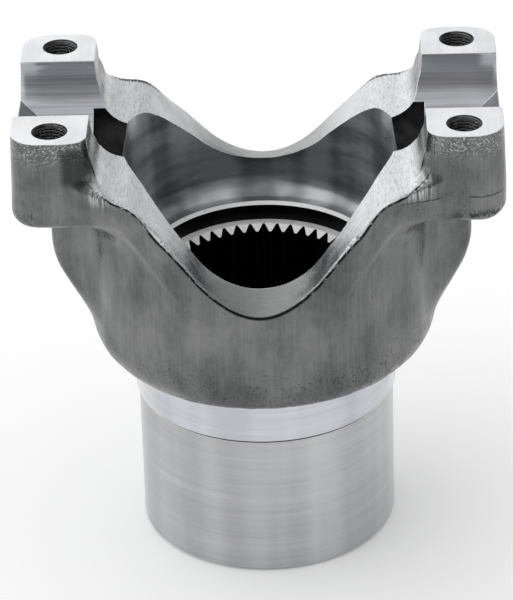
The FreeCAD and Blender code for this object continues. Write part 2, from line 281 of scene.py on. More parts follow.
@dataclass
class FieldMesher:
    """Meshes the zero level of a field of distances with a net of quads."""

    low: tuple[float, float, float]
    high: tuple[float, float, float]
    step: float = 0.9
    slab: int = 24
    refinements: int = 4
    longest_pull: float = 0.4
    least_slope: float = 0.25

    def sample(self, distance: Distance) -> np.ndarray:
        """Return the field's values on the grid, worked out slab by slab.

        Args:
            distance: a function from places to distances.

        Returns:
            A block of values.
        """
        axes = [np.arange(a, b + self.step, self.step) for a, b in zip(self.low, self.high)]
        blocks = []
        for start in range(0, len(axes[0]), self.slab):
            part = np.meshgrid(axes[0][start:start + self.slab], axes[1], axes[2], indexing="ij")
            blocks.append(distance(np.stack(part, axis=-1)).astype(np.float32))
        return np.concatenate(blocks)

    def net(self, values: np.ndarray) -> tuple[np.ndarray, np.ndarray]:
        """Net the block of values.

        Args:
            values: the field on the grid.

        Returns:
            The corners in millimetres and the quads, facing outwards.
        """
        inside = values < 0.0
        shape = np.array(values.shape)
        strides = np.array([shape[1] * shape[2], shape[2], 1])
        cells, weights, quads = [], [], []
        for axis in range(3):
            first = np.moveaxis(inside, axis, 0)[:-1]
            second = np.moveaxis(inside, axis, 0)[1:]
            crossing = np.moveaxis(first != second, 0, axis)
            places = np.argwhere(crossing)
            others = [(axis + 1) % 3, (axis + 2) % 3]
            places = places[(places[:, others] > 0).all(axis=1)
                            & (places[:, others] < shape[others] - 1).all(axis=1)]
            number = places @ strides
            here = values.ravel()[number]
            there = values.ravel()[number + strides[axis]]
            point = places.astype(float)
            point[:, axis] += here / (here - there)
            around = np.stack([number,
                               number - strides[others[0]],
                               number - strides[others[0]] - strides[others[1]],
                               number - strides[others[1]]], axis=1)
            turn = here > 0.0
            around[turn] = around[turn][:, ::-1]
            quads.append(around)
            cells.append(around.ravel())
            weights.append(np.repeat(point, 4, axis=0))
        names, index = np.unique(np.concatenate(cells), return_inverse=True)
        index = index.ravel()
        crossings = np.concatenate(weights)
        count = np.bincount(index, minlength=len(names))
        corners = np.stack([np.bincount(index, crossings[:, k], len(names)) / count for k in range(3)],
                           axis=1)
        faces = index.reshape(-1, 4)
        return corners * self.step + np.array(self.low), faces

    def settle(self, corners: np.ndarray, distance: Distance) -> np.ndarray:
        """Pull the corners of a net onto a field's exact zero level.

        Args:
            corners: the net's corners.
            distance: a function from places to distances.

        Returns:
            The corners on that level.
        """
        for _ in range(self.refinements):
            slope = gradient(distance, corners)
            steepness = np.maximum((slope ** 2).sum(axis=1), self.least_slope)
            pull = np.clip(distance(corners) / steepness, -self.longest_pull, self.longest_pull)
            corners = corners - slope * pull[:, None]
        return corners


def clean(item: bpy.types.Object, smallest: float = 0.01) -> None:
    """Merge away an object's slivers.

    Args:
        item: the object.
        smallest: the length under which an edge goes, in millimetres.
    """
    editing = bmesh.new()
    editing.from_mesh(item.data)
    bmesh.ops.dissolve_degenerate(editing, dist=smallest * MM, edges=editing.edges)
    editing.to_mesh(item.data)
    editing.free()


def corner_places(item: bpy.types.Object) -> np.ndarray:
    """Read the corners of an object's mesh.

    Args:
        item: the object.

    Returns:
        One row of x, y, z for each corner, in millimetres.
    """
    places = np.empty(len(item.data.vertices) * 3)
    item.data.vertices.foreach_get("co", places)
    return places.reshape(-1, 3) / MM


def gradient(distance: Distance, places: np.ndarray, reach: float = 0.02) -> np.ndarray:
    """Measure the slope of a field, by central differences.

    Args:
        distance: a function from places to distances.
        places: where the slope is wanted.
        reach: how far to either side the field is measured.

    Returns:
        The slope along x, y and z at each place.
    """
    shifts = np.eye(3) * reach
    return np.stack([(distance(places + s) - distance(places - s)) / (2.0 * reach) for s in shifts],
                    axis=-1)


# ---------------------------------------------------------------------------- the yoke


@dataclass
class Throat:
    """The ground U between the ears with the shelves at the feet of the bosses."""

    pads: float
    radius: float = 24.0
    depth: float = 44.7
    flank: float = math.radians(48.0)
    shelf_depth: float = 17.0
    shoulder: float = 3.2
    gap: float = 45.2
    draft: float = math.tan(math.radians(5.0))
    foot: float = 7.5
    fall: float = 0.30
    fall_start: float = 40.0
    fall_width: float = 16.0

    def distance(self, places: np.ndarray) -> np.ndarray:
        """Measure the open space of the U.

        Args:
            places: places, in an array whose last axis is x, y, z.

        Returns:
            The distances to it, negative inside.
        """
        x, y, z = np.abs(places[..., 0]), np.abs(places[..., 1]), places[..., 2]
        fall = self.fall * np.maximum(y - self.fall_start, 0.0) * np.exp(-(x / self.fall_width) ** 2)
        centre = self.pads - self.depth + self.radius
        rise = z + fall - centre
        angle = np.arctan2(x, -rise)
        round_part = np.hypot(x, rise) - self.radius
        flat_part = x * math.sin(self.flank) - rise * math.cos(self.flank) - self.radius
        channel = np.where(angle < self.flank, round_part, flat_part)
        shelf = self.pads - self.shelf_depth
        wall = x - self.gap - self.draft * np.maximum(z - shelf, 0.0)
        room = common(wall, shelf - z, self.foot)
        return fuse(np.maximum(channel, wall), room, self.shoulder)


@dataclass
class Forging:
    """The forged skin of the bowl, the ears and the arms that carry them."""

    pads: float
    throat: Throat
    bowl_radius: float = 50.8
    bowl_base: float = 59.2
    bowl_corner: float = 12.0
    lip_height: float = 1.1
    lip_width: float = 10.0
    lip_fade: float = 1.5
    lip_start: Span = (12.0, 26.0)
    ear_half_span: float = 69.3
    ear_half_width: float = 35.3
    ear_thickness: float = 28.0
    ear_lean: float = 0.9
    side_lean: float = 0.3
    ear_corner: float = 8.5
    ear_edge: float = 4.5
    sweep: float = 15.0
    under_sweep: float = 9.0
    sweep_rise: Span = (-2.0, 8.0)
    arm_half_width: float = 12.5
    arm_reach: float = 61.0
    arm_radius: float = 26.0
    arm_bend: float = 43.5
    arm_corner: float = 4.5
    arm_sweep: float = 8.0
    rim_round: float = 1.1
    boss_corner: float = 9.5
    boss_start: Span = (40.0, 50.0)
    boss_rise: Span = (-1.0, 5.0)
    waves: tuple[tuple[float, float, int], ...] = ((0.16, 9.0, 3), (0.07, 3.4, 5))
    stock: float = 2.5
    margin: float = 2.0

    def bowl(self, x: np.ndarray, y: np.ndarray, z: np.ndarray, rim: np.ndarray) -> np.ndarray:
        """Measure the bowl, with the low lip that borders the U.

        Args:
            x: places along X.
            y: places along Y.
            z: places along Z.
            rim: the distances to the U.

        Returns:
            The distances to it.
        """
        lip = ease(rim, self.lip_width + self.lip_fade, self.lip_width - self.lip_fade)
        lip = lip * ease(np.abs(x), *self.lip_start)
        side = np.hypot(x, y) - self.bowl_radius - self.lip_height * lip
        return common(side, self.bowl_base - z, self.bowl_corner)

    def ear(self, x: np.ndarray, y: np.ndarray, z: np.ndarray) -> np.ndarray:
        """Measure both ears, uncut.

        Args:
            x: places along X.
            y: places along Y.
            z: places along Z.

        Returns:
            The distances to them.
        """
        under = self.pads - self.ear_thickness
        lean = self.ear_lean * (self.pads - z) / self.ear_thickness
        end = np.abs(x) - self.ear_half_span - lean
        side = np.abs(y) - self.ear_half_width - self.side_lean * lean
        return common(common(end, side, self.ear_corner), under - z, self.ear_edge)

    def arm(self, x: np.ndarray, y: np.ndarray, z: np.ndarray) -> np.ndarray:
        """Measure the narrow arms under the ears.

        Args:
            x: places along X.
            y: places along Y.
            z: places along Z.

        Returns:
            The distances to them.
        """
        centre = self.arm_reach - self.arm_radius
        bend = self.pads - self.arm_bend
        out = np.abs(x) - centre
        curve = np.where(z > bend, out, np.hypot(np.maximum(out, 0.0), z - bend)) - self.arm_radius
        return common(curve, np.abs(y) - self.arm_half_width, self.arm_corner)

    def plain(self, places: np.ndarray) -> np.ndarray:
        """Measure the smooth forging, left higher than the pads.

        Args:
            places: places, in an array whose last axis is x, y, z.

        Returns:
            The distances to it.
        """
        x, y, z = places[..., 0], places[..., 1], places[..., 2]
        rim = self.throat.distance(places)
        under = self.pads - self.ear_thickness
        rise = ease(z - under, *self.sweep_rise)
        sweep = self.under_sweep + (self.sweep - self.under_sweep) * rise
        body = fuse(self.bowl(x, y, z, rim), self.ear(x, y, z), sweep)
        body = fuse(body, self.arm(x, y, z), self.arm_sweep)
        shelf = self.pads - self.throat.shelf_depth
        boss = ease(np.abs(x), *self.boss_start) * ease(z - shelf, *self.boss_rise)
        round_off = self.rim_round + (self.boss_corner - self.rim_round) * boss
        body = common(body, -rim, round_off)
        return np.maximum(body, z - self.pads - self.stock)

    def distance(self, places: np.ndarray) -> np.ndarray:
        """Return the distances to the forging with its waves and hammered dents."""
        wave = sum(height * waviness(places, size, seed) for height, size, seed in self.waves)
        return self.plain(places) + wave

    def build(self) -> bpy.types.Object:
        """Mesh the closed forged skin.

        Returns:
            The skin.
        """
        across = self.ear_half_span + self.ear_lean + self.margin
        along = self.bowl_radius + self.lip_height + self.margin
        mesher = FieldMesher((-across, -along, self.bowl_base - self.margin),
                             (across, along, self.pads + self.stock + self.margin))
        corners, faces = mesher.net(mesher.sample(self.plain))
        return mesh_object("forging", mesher.settle(corners, self.distance), faces)


@dataclass
class Hub:
    """The ground hub with the polished shoulder that carries the shaft's seal."""

    radius: float = 38.1
    length: float = 45.8
    chamfer: float = 1.2
    groove_width: float = 0.55
    groove_depth: float = 0.35
    seal_radius: float = 38.85
    seal_edge: float = 0.5
    neck: float = 2.0
    bowl_base: float = 59.2
    sunk: float = 3.0

    def build(self) -> bpy.types.Object:
        """Turn the hub, which runs a little way up into the bowl.

        Returns:
            The solid hub.
        """
        profile = [(0.0, 0.0), (self.radius - self.chamfer, 0.0), (self.radius, self.chamfer),
                   (self.radius, self.length - self.groove_width),
                   (self.radius - self.groove_depth, self.length - self.groove_width),
                   (self.radius - self.groove_depth, self.length)]
        profile += arc((self.seal_radius - self.seal_edge, self.length + self.seal_edge),
                       self.seal_edge, -90.0, 0.0, 4)
        profile += arc((self.seal_radius + self.neck, self.bowl_base - self.neck),
                       self.neck, 180.0, 90.0)
        top = self.bowl_base + self.sunk
        profile += [(self.seal_radius + self.neck, top), (0.0, top)]
        return turned("hub", profile)


@dataclass
class Bore:
    """What is turned and broached along the shaft axis: bowl, nut recess, spline, pilot."""

    pads: float
    cavity_radius: float = 40.0
    floor: float = 86.5
    floor_fillet: float = 6.0
    seat_radius: float = 33.1
    seat: float = 80.6
    seat_chamfer: float = 1.0
    teeth: int = 46
    tip_radius: float = 28.58
    root_radius: float = 30.35
    tip_width: float = 0.75
    root_width: float = 0.65
    spline_length: float = 60.0
    lead: float = 1.8
    pilot_radius: float = 30.6
    pilot_chamfer: float = 1.5
    overrun: float = 12.0
    past: float = 1.0

    def turning_tool(self) -> bpy.types.Object:
        """Turn the shape of the hollow.

        Returns:
            The hollow as a solid.
        """
        end = self.seat - self.spline_length
        fillet_centre = (self.cavity_radius - self.floor_fillet, self.floor + self.floor_fillet)
        profile = [(0.0, -self.past),
                   (self.pilot_radius + self.pilot_chamfer + self.past, -self.past),
                   (self.pilot_radius, self.pilot_chamfer), (self.pilot_radius, end),
                   (self.tip_radius, end + self.pilot_radius - self.tip_radius),
                   (self.tip_radius, self.seat - self.lead), (self.tip_radius + self.lead, self.seat),
                   (self.seat_radius, self.seat), (self.seat_radius, self.floor - self.seat_chamfer),
                   (self.seat_radius + self.seat_chamfer, self.floor)]
        profile += arc(fillet_centre, self.floor_fillet, -90.0, 0.0)
        top = self.pads + self.overrun
        profile += [(self.cavity_radius, top), (0.0, top)]
        return turned("turning_tool", profile, 4 * self.teeth)

    def broach(self) -> bpy.types.Object:
        """Shape the broach that leaves the spline's teeth.

        Returns:
            The star-shaped broach.
        """
        pitch = 2.0 * math.pi / self.teeth
        tip_space = pitch - self.tip_width / self.tip_radius
        root_space = self.root_width / self.root_radius
        inner = self.tip_radius - self.past
        corners = []
        for tooth in range(self.teeth):
            middle = (tooth + 0.5) * pitch
            for radius, angle in ((inner, -tip_space / 2), (self.tip_radius, -tip_space / 2),
                                  (self.root_radius, -root_space / 2),
                                  (self.root_radius, root_space / 2),
                                  (self.tip_radius, tip_space / 2), (inner, tip_space / 2)):
                turn = middle + angle
                corners.append((radius * math.cos(turn), radius * math.sin(turn)))
        end = self.seat - self.spline_length
        return prism("broach", np.array(corners), end + self.past, self.seat + self.past / 2)


@dataclass
class Saddles:
    """The half-round seats for the bearing caps, with the tangs that locate them."""

    pads: float
    radius: float = 17.4625
    inner_end: float = 30.0
    tang_start: float = 63.1
    tang_height: float = 2.36
    tang_slope: float = math.radians(34.0)
    outer_end: float = 78.0
    relief_radius: float = 12.0
    relief_depth: float = 23.5
    relief_end: float = 48.2
    inner_face: float = 45.0
    outer_face: float = 69.5
    edge_break: float = 1.1
    overlap: float = 4.0
    ring: int = 128

    def cutters(self) -> list[bpy.types.Object]:
        """Make the tools for both ears.

        Returns:
            Two seat bars, two slanted bars and two relief bars.
        """
        seat = [(0.0, self.inner_end), (self.radius, self.inner_end),
                (self.radius, self.tang_start), (0.0, self.tang_start)]
        relief = [(0.0, self.inner_end), (self.relief_radius, self.inner_end),
                  (self.relief_radius, self.relief_end), (0.0, self.relief_end)]
        low = self.pads - self.relief_depth + self.relief_radius
        made = []
        for side in (1.0, -1.0):
            made.append(self.along(side, "seat_bar", seat, self.pads))
            made.append(self.slanted_bar(side))
            made.append(self.along(side, "relief_bar", relief, low))
        return made

    def along(self, side: float, name: str, profile: list[Span], height: float) -> bpy.types.Object:
        """Turn a profile and lay it along X.

        Args:
            side: 1 for the right ear, -1 for the left one.
            name: the tool's name.
            profile: (radius, distance from the shaft axis) corners, outwards.
            height: the height at which it lies.

        Returns:
            The tool.
        """
        laid = [(radius, side * place) for radius, place in profile]
        tool = turned(name, laid if side > 0 else laid[::-1], self.ring)
        lay_along_x(tool, height)
        return tool

    def slanted_bar(self, side: float) -> bpy.types.Object:
        """Make the bar that opens the saddle over a tang, trimmed to the tang's slope.

        Args:
            side: 1 for the right ear, -1 for the left one.

        Returns:
            The bar.
        """
        start, flare = self.tang_start - self.overlap, self.outer_face - 1.5 * self.edge_break
        wide = self.radius + self.edge_break
        profile = [(0.0, start), (self.radius, start), (self.radius, flare),
                   (self.radius + 0.3 * self.edge_break, self.outer_face - 0.5 * self.edge_break),
                   (wide, self.outer_face + 0.3), (wide, self.outer_end), (0.0, self.outer_end)]
        tool = self.along(side, "tang_bar", profile, self.pads)
        foot = Vector((side * self.tang_start, 0.0, self.pads - self.radius + self.tang_height)) * MM
        upward = Vector((-side * math.sin(self.tang_slope), 0.0, math.cos(self.tang_slope)))
        editing = bmesh.new()
        editing.from_mesh(tool.data)
        everything = editing.verts[:] + editing.edges[:] + editing.faces[:]
        cut = bmesh.ops.bisect_plane(editing, geom=everything, plane_co=foot, plane_no=upward,
                                     clear_inner=True)
        rim = [item for item in cut["geom_cut"] if isinstance(item, bmesh.types.BMEdge)]
        bmesh.ops.holes_fill(editing, edges=rim)
        bmesh.ops.recalc_face_normals(editing, faces=editing.faces)
        editing.to_mesh(tool.data)
        editing.free()
        return tool


@dataclass
class StrapBolts:
    """The four tapped holes for the bearing straps."""

    pads: float
    span: float = 116.3
    spread: float = 54.3
    minor_radius: float = 4.22
    major_radius: float = 4.76
    pitch: float = 25.4 / 24.0
    mouth_radius: float = 5.15
    raised: float = 2.0
    depth: float = 34.0
    ring: int = 48

    def places(self) -> list[tuple[float, float]]:
        """Return the holes' places in plan."""
        return [(sx * self.span / 2, sy * self.spread / 2) for sx in (-1, 1) for sy in (-1, 1)]

    def cutters(self) -> list[bpy.types.Object]:
        """Make the tools for all four holes.

        Returns:
            A tap and a countersink for each hole.
        """
        made = []
        for x, y in self.places():
            for tool in (self.tap(), self.countersink()):
                tool.data.transform(Matrix.Translation((x * MM, y * MM, 0.0)))
                made.append(tool)
        return made

    def countersink(self) -> bpy.types.Object:
        """Turn the cone that opens a hole's mouth.

        Returns:
            The cone.
        """
        top = self.pads + self.raised
        profile = [(0.0, self.pads - self.mouth_radius), (self.mouth_radius + self.raised, top),
                   (0.0, top + 1.0)]
        return turned("countersink", profile, self.ring)

    def tap(self) -> bpy.types.Object:
        """Wind the screw-shaped tool that cuts a hole and its thread at once.

        Returns:
            The closed tool.
        """
        shares = ((0.0, self.minor_radius), (0.12, self.minor_radius), (0.44, self.major_radius),
                  (0.56, self.major_radius), (0.88, self.minor_radius))
        turns = int(self.depth / self.pitch) + 3
        rows = [(turn + share, radius) for turn in range(turns) for share, radius in shares]
        base = self.pads - self.depth
        points, faces = [], []
        for share, radius in rows:
            for index in range(self.ring):
                angle = 2.0 * math.pi * index / self.ring
                height = base + self.pitch * (share + index / self.ring)
                points.append((radius * math.cos(angle), radius * math.sin(angle), height))
        last, jump, end = len(rows) - 1, len(shares), self.ring - 1
        for row in range(last):
            for index in range(end):
                here = row * self.ring + index
                faces.append((here, here + 1, here + 1 + self.ring, here + self.ring))
        for row in range(jump, last):
            here = (row - jump) * self.ring + end
            faces.append((here, row * self.ring, (row + 1) * self.ring, here + self.ring))
        bottom, top = len(points), len(points) + 1
        points += [(0.0, 0.0, base - self.minor_radius), (0.0, 0.0, base + self.pitch * (turns + 2))]
        low_loop = list(range(self.ring)) + [row * self.ring for row in range(jump, 0, -1)]
        high_loop = [last * self.ring + index for index in range(self.ring)]
        high_loop += [(last - step) * self.ring + end for step in range(1, jump + 1)]
        for loop, apex, flip in ((low_loop, bottom, True), (high_loop, top, False)):
            for first, second in zip(loop, loop[1:] + loop[:1]):
                faces.append((second, first, apex) if flip else (first, second, apex))
        return mesh_object("tap", np.array(points), faces)


# ---------------------------------------------------------------------------- finishes


class Graph:
    """A material's nodes, with short ways to add and join them."""

    def __init__(self, name: str, metallic: float = 1.0) -> None:
        """Start a material.

        Args:
            name: the material's name.
            metallic: how metallic its shader is.
        """
        self.material = bpy.data.materials.new(name)
        self.material.use_nodes = True
        self.tree = self.material.node_tree
        self.shader = self.tree.nodes["Principled BSDF"]
        self.shader.inputs["Metallic"].default_value = metallic
        self.place = self.add("ShaderNodeTexCoord").outputs["Object"]
        self.axes = self.add("ShaderNodeSeparateXYZ", Vector=self.place).outputs

    def add(self, kind: str, **inputs: Socket | float | tuple | None) -> bpy.types.Node:
        """Add a node and fill its inputs.

        Args:
            kind: the node's type.
            inputs: a socket to link from, or a constant, for each named input.

        Returns:
            The node.
        """
        node = self.tree.nodes.new(kind)
        for name, value in inputs.items():
            self.feed(node.inputs[name.replace("_", " ")], value)
        return node

    def feed(self, socket: Socket, value: Socket | float | tuple | None) -> None:
        """Link a socket or set its constant.

        Args:
            socket: the socket that is fed.
            value: a socket to link from, a constant, a colour, or None to leave it alone.
        """
        if isinstance(value, Socket):
            self.tree.links.new(value, socket)
        elif isinstance(value, tuple) and socket.type == "RGBA":
            socket.default_value = (*value, 1.0)
        elif value is not None:
            socket.default_value = value

    def math(self, operation: str, first: Socket | float, second: Socket | float | None = None) -> Socket:
        """Work out one value from one or two others.

        Args:
            operation: the sum's name.
            first: the first value.
            second: the second value, if there is one.

        Returns:
            The result.
        """
        node = self.tree.nodes.new("ShaderNodeMath")
        node.operation = operation
        self.feed(node.inputs[0], first)
        self.feed(node.inputs[1], second)
        return node.outputs[0]

    def spread(self, value: Socket, low: float, high: float, to_low: float = 0.0,
               to_high: float = 1.0) -> Socket:
        """Map a value smoothly from one range to another, and hold it there outside.

        Args:
            value: the value.
            low: where the first range starts; it may be the larger end.
            high: where it ends.
            to_low: what low becomes.
            to_high: what high becomes.

        Returns:
            The mapped value.
        """
        node = self.add("ShaderNodeMapRange", Value=value, From_Min=low, From_Max=high,
                        To_Min=to_low, To_Max=to_high)
        node.interpolation_type = "SMOOTHSTEP"
        return node.outputs["Result"]

    def between(self, value: Socket, low: float, high: float, soft: float) -> Socket:
        """Return 1 where a value lies between two limits, fading out over a soft border."""
        return self.times(self.spread(value, low - soft, low + soft),
                          self.spread(value, high + soft, high - soft))

    def times(self, first: Socket, *others: Socket | float) -> Socket:
        """Multiply any number of values.

        Args:
            first: the first value.
            others: the values to multiply it by.

        Returns:
            The product.
        """
        for other in others:
            first = self.math("MULTIPLY", first, other)
        return first

    def total(self, *weighted: tuple[Socket, float]) -> Socket:
        """Add up values, each given with its weight.

        Args:
            weighted: pairs of a value and its weight.

        Returns:
            The sum.
        """
        summed = self.math("MULTIPLY", *weighted[0])
        for value, weight in weighted[1:]:
            summed = self.math("ADD", summed, self.math("MULTIPLY", value, weight))
        return summed

    def grain(self, size: Colour, detail: float = 3.0, rough: float = 0.55, twist: float = 0.0) -> Socket:
        """Add noise.

        Args:
            size: the grains' length along X, Y and Z, in millimetres.
            detail: how many finer layers it has.
            rough: how strong those are.
            twist: how much it is distorted.

        Returns:
            The noise, from 0 to 1.
        """
        stretch = self.add("ShaderNodeMapping", Vector=self.place)
        stretch.inputs["Scale"].default_value = [1.0 / (MM * length) for length in size]
        noise = self.add("ShaderNodeTexNoise", Vector=stretch.outputs["Vector"], Scale=1.0,
                         Detail=detail, Roughness=rough, Distortion=twist)
        return noise.outputs["Fac"]

    def value(self, name: str) -> Socket:
        """Read one of the values stored on the mesh.

        Args:
            name: the value's name.

        Returns:
            The value.
        """
        node = self.tree.nodes.new("ShaderNodeAttribute")
        node.attribute_name = name
        return node.outputs["Fac"]

    def mix(self, share: Socket, first: Socket | Colour, second: Socket | Colour) -> Socket:
        """Mix two colours.

        Args:
            share: how much of the second there is.
            first: the first colour.
            second: the second colour.

        Returns:
            The mixed colour.
        """
        node = self.tree.nodes.new("ShaderNodeMix")
        node.data_type = "RGBA"
        self.feed(node.inputs["Factor"], share)
        self.feed(node.inputs[6], first)
        self.feed(node.inputs[7], second)
        return node.outputs[2]

    def mark(self, colour: Socket, paint: Socket | Colour, *shares: Socket | float) -> Socket:
        """Paint over a colour as strongly as the product of the shares."""
        return self.mix(self.times(*shares), colour, paint)

    def round_edges(self, radius: float) -> Socket:
        """Shade the sharp edges as rounded ones.

        Args:
            radius: their radius in millimetres.

        Returns:
            The normals.
        """
        node = self.add("ShaderNodeBevel", Radius=radius * MM)
        node.samples = BEVEL_SAMPLES
        return node.outputs["Normal"]

    def edges(self, rounded: Socket) -> Socket:
        """Find the rounded edges, which get a painted highlight.

        Args:
            rounded: the normals of the rounded edges.

        Returns:
            1 on the edges and 0 away from them.
        """
        node = self.tree.nodes.new("ShaderNodeVectorMath")
        node.operation = "DOT_PRODUCT"
        self.feed(node.inputs[0], rounded)
        self.feed(node.inputs[1], self.add("ShaderNodeNewGeometry").outputs["Normal"])
        return self.spread(node.outputs["Value"], *EDGE_TURN)

    def bump(self, height: Socket, depth: float, normal: Socket | None = None) -> Socket:
        """Add a fine relief.

        Args:
            height: the relief, from 0 to 1.
            depth: its depth in millimetres.
            normal: the normals that it stands on.

        Returns:
            The normals.
        """
        node = self.add("ShaderNodeBump", Height=height, Strength=1.0, Distance=depth * MM, Normal=normal)
        return node.outputs["Normal"]

    def finish(self, colour: Socket, roughness: Socket, normal: Socket) -> bpy.types.Material:
        """Feed the shader.

        Args:
            colour: the base colour.
            roughness: the roughness.
            normal: the normals.

        Returns:
            The material.
        """
        self.feed(self.shader.inputs["Base Color"], colour)
        self.feed(self.shader.inputs["Roughness"], roughness)
        self.feed(self.shader.inputs["Normal"], normal)
        return self.material


class SkinGraph(Graph):
    """The forged skin's nodes, with the places and grains that its marks share."""

    def __init__(self) -> None:
        """Start the material and add what its marks share."""
        super().__init__("forged_steel")
        self.x, self.y, self.height = (self.axes[axis] for axis in "XYZ")
        self.reach = self.math("ABSOLUTE", self.x)
        self.across = self.value("rim_across")
        self.streaks = self.grain((0.8, 0.8, 11.0), 3.0, 0.6, 0.2)
        self.mottle = self.grain((2.6, 2.6, 3.2), 4.0, 0.65)
        self.bands = self.grain((8.0, 8.0, 70.0), 2.0, 0.45)
        self.brush = self.grain((0.5, 3.6, 0.5), 4.0, 0.7, 1.2)
        self.specks = self.grain((0.55, 0.55, 0.55), 2.0, 0.5)


@dataclass(frozen=True)
class ForgedSkin:
    """Forged steel, brushed bright, with a ground band around the U and pits low down; it carries painted
    shade in the creases and on the left boss's facet, painted highlights on the boss feet and edges, and
    painted light that makes the band lighter towards its top.

    Places are in metres and distances across the U's rim in millimetres.  A Span fades a mark
    in from its first number to its second; a Window has the mark's two limits and how soft
    they are.
    """

    dark: Colour = (0.075, 0.079, 0.08)
    light: Colour = (0.225, 0.23, 0.225)
    # light wear specks, bright brush strokes and corner specks, and the painted highlight on the boss feet
    # and along the edges
    wear_and_highlight: Colour = (0.80, 0.81, 0.82)
    # the ground band's colours, from its shaded low end to its lit top
    band_shaded_low: Colour = (0.20, 0.205, 0.205)
    band_lit_high: Colour = (0.62, 0.63, 0.64)
    # the painted shade in the creases and on the left boss's facet, and the dark of pits, rust, scratches
    # and the trim line
    shade_and_marks: Colour = (0.012, 0.013, 0.014)
    tone: Span = (0.30, 0.70)
    pad_edge: Span = (0.133, 0.141)
    pad_wear: Span = (0.50, 0.66)
    # where the painted shade on the left boss's facet lies
    facet_shade_x: Window = (-0.0550, -0.0462, 0.0014)
    facet_shade_y: Span = (-0.024, -0.030)
    facet_shade_z: Window = (0.1295, 0.1405, 0.0016)
    boss_foot: Span = (0.1335, 0.1275)
    ear_start: Span = (0.036, 0.043)
    crisp_rim: Span = (0.2, -0.3)
    soft_rim: Span = (4.0, -2.0)
    # painted light: the ground band gets lighter towards its top
    band_light_rise: Span = (0.096, 0.118)
    band_tone: Span = (0.1, 1.5)
    shelf: Span = (0.116, 0.1235)
    dark_strokes: Span = (0.50, 0.68)
    bright_strokes: Span = (0.46, 0.34)
    # where the painted shade in the crease beside the U and along its far edge lies
    crease_shade_band: Window = (0.0, 0.85, 0.25)
    crease_shade_patches: Span = (0.38, 0.46)
    far_edge_shade: Window = (1.6, 6.0, 0.5)
    far_edge_shade_rim: Span = (0.4, -0.2)
    far_edge_shade_y: Span = (0.015, 0.03)
    far_edge_shade_z: Span = (0.112, 0.122)
    # where the painted highlight on the boss feet lies
    foot_highlight_x: Window = (0.0420, 0.0490, 0.0015)
    foot_highlight_z: Window = (0.1245, 0.1315, 0.002)
    foot_highlight_bands: Span = (0.40, 0.56)
    foot_highlight_streaks: Span = (0.4, 0.6)
    trim_z: Window = (0.12405, 0.12440, 0.0001)
    trim_x: Span = (0.036, 0.046)
    trim_breaks: Span = (0.38, 0.46)
    corner_x: Span = (0.047, 0.062)
    corner_z: Window = (0.1145, 0.1190, 0.0015)
    corner_rust: Span = (0.42, 0.56)
    corner_shine: Span = (0.62, 0.72)
    scored_x: Span = (-0.0600, -0.0665)
    scored_z: Span = (0.128, 0.119)
    scratches: Window = (0.47, 0.51, 0.01)
    pitted_z: Span = (0.084, 0.066)
    pitted_x: Span = (0.0, 0.04)
    pit_size: Span = (0.70, 0.80)
    pit_patches: Span = (0.44, 0.56)
    roughness: Span = (0.22, 0.34)
    edge: float = 0.45
    depth: float = 0.10

    def material(self) -> bpy.types.Material:
        """Build the finish.

        Returns:
            The material.
        """
        g = SkinGraph()
        colour = self.ground_band(g, self.bare(g))
        below_boss = g.spread(g.height, *self.boss_foot)
        # painted shade in the crease beside the U and along its far edge
        front, back = self.painted_crease_shade(g)
        colour = g.mark(colour, self.shade_and_marks, g.math("MAXIMUM", front, back), below_boss)
        colour = self.ear_marks(g, colour)
        pits = self.pits(g)
        colour = g.mark(colour, self.shade_and_marks, pits, 0.8)
        rounded = g.round_edges(self.edge)
        # painted highlight along the rounded edges
        colour = g.mix(g.edges(rounded), colour, self.wear_and_highlight)
        relief = g.total((g.streaks, 0.5), (g.mottle, 0.5), (pits, -0.6), (front, -0.8))
        rough = g.spread(g.mottle, 0.3, 0.7, *self.roughness)
        return g.finish(colour, rough, g.bump(relief, self.depth, rounded))

    def bare(self, g: SkinGraph) -> Socket:
        """Colour the bare skin, with wear specks under the pads and painted shade on the left boss's facet.

        Args:
            g: the skin's nodes.

        Returns:
            The colour.
        """
        clouds = g.grain((18.0, 18.0, 22.0), 2.0, 0.5)
        tone = g.total((clouds, 0.42), (g.bands, 0.22), (g.streaks, 0.16), (g.mottle, 0.20))
        colour = g.mix(g.spread(tone, *self.tone), self.dark, self.light)
        colour = g.mark(colour, self.wear_and_highlight, g.spread(g.height, *self.pad_edge),
                        g.spread(g.specks, *self.pad_wear), 0.4)
        # painted shade on the left boss's inner front facet
        return g.mark(colour, self.shade_and_marks, g.between(g.x, *self.facet_shade_x), g.spread(g.y, *self.facet_shade_y),
                      g.between(g.height, *self.facet_shade_z), 0.72)

    def ground_band(self, g: SkinGraph, colour: Socket) -> Socket:
        """Add the band that is ground around the U, with painted light that makes it lighter towards its
        top, and the brush strokes on its shelves.

        Args:
            g: the skin's nodes.
            colour: the colour so far.

        Returns:
            The colour with the band.
        """
        on_ear = g.spread(g.reach, *self.ear_start)
        crisp = g.times(g.spread(g.across, *self.crisp_rim), g.math("SUBTRACT", 1.0, on_ear))
        soft = g.times(g.spread(g.total((g.across, 1.0), (g.mottle, 3.0)), *self.soft_rim), on_ear)
        on_band = g.times(g.math("ADD", crisp, soft), g.spread(g.height, *self.boss_foot))
        patches = g.grain((4.0, 0.7, 4.0), 3.0, 0.6, 0.5)
